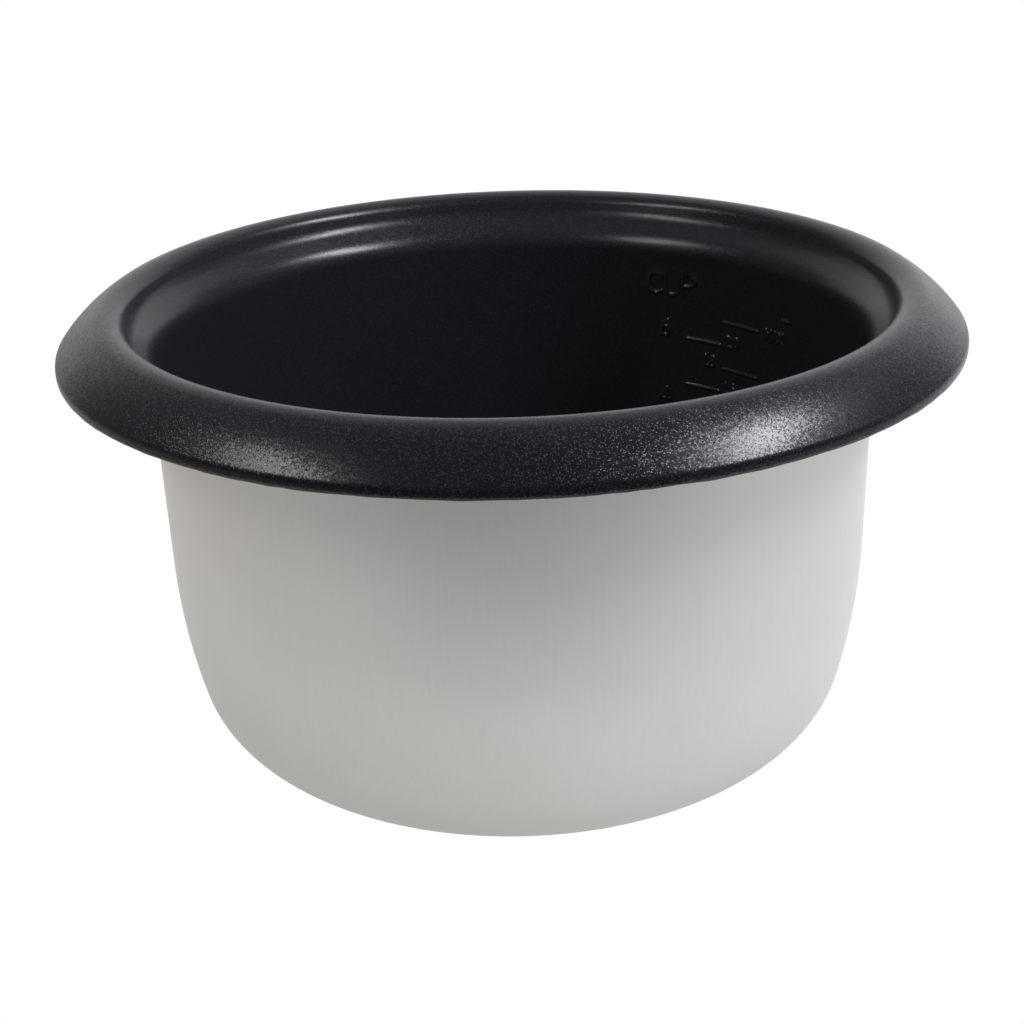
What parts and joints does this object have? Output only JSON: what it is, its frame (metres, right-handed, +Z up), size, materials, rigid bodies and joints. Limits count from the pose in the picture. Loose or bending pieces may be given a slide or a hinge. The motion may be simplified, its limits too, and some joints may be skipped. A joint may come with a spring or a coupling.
{
  "type": "rice cooker inner pot",
  "caption": "Deep drawn aluminium cooking pot, dark non-stick inside and over a wide sloping flange, with a lid step and a raised water scale. It drops into a rice cooker and stands on its plate.",
  "frame": {"origin": "centre of the underside of the pot's flat base", "axes": "+Z up along the pot's axis. The water scale is on the inside of the wall, between +Y and +X."},
  "size_m": [0.235, 0.235, 0.1226],
  "materials": {
    "bare_aluminium": "satin, with a fine upright drawing grain",
    "nonstick": "matte black fluoropolymer coating with a fine bright fleck and a light orange-peel surface"
  },
  "bodies": {
    "root": {"pan_body": "bare_aluminium", "nonstick_coating": "nonstick"}
  },
  "joints": []
}
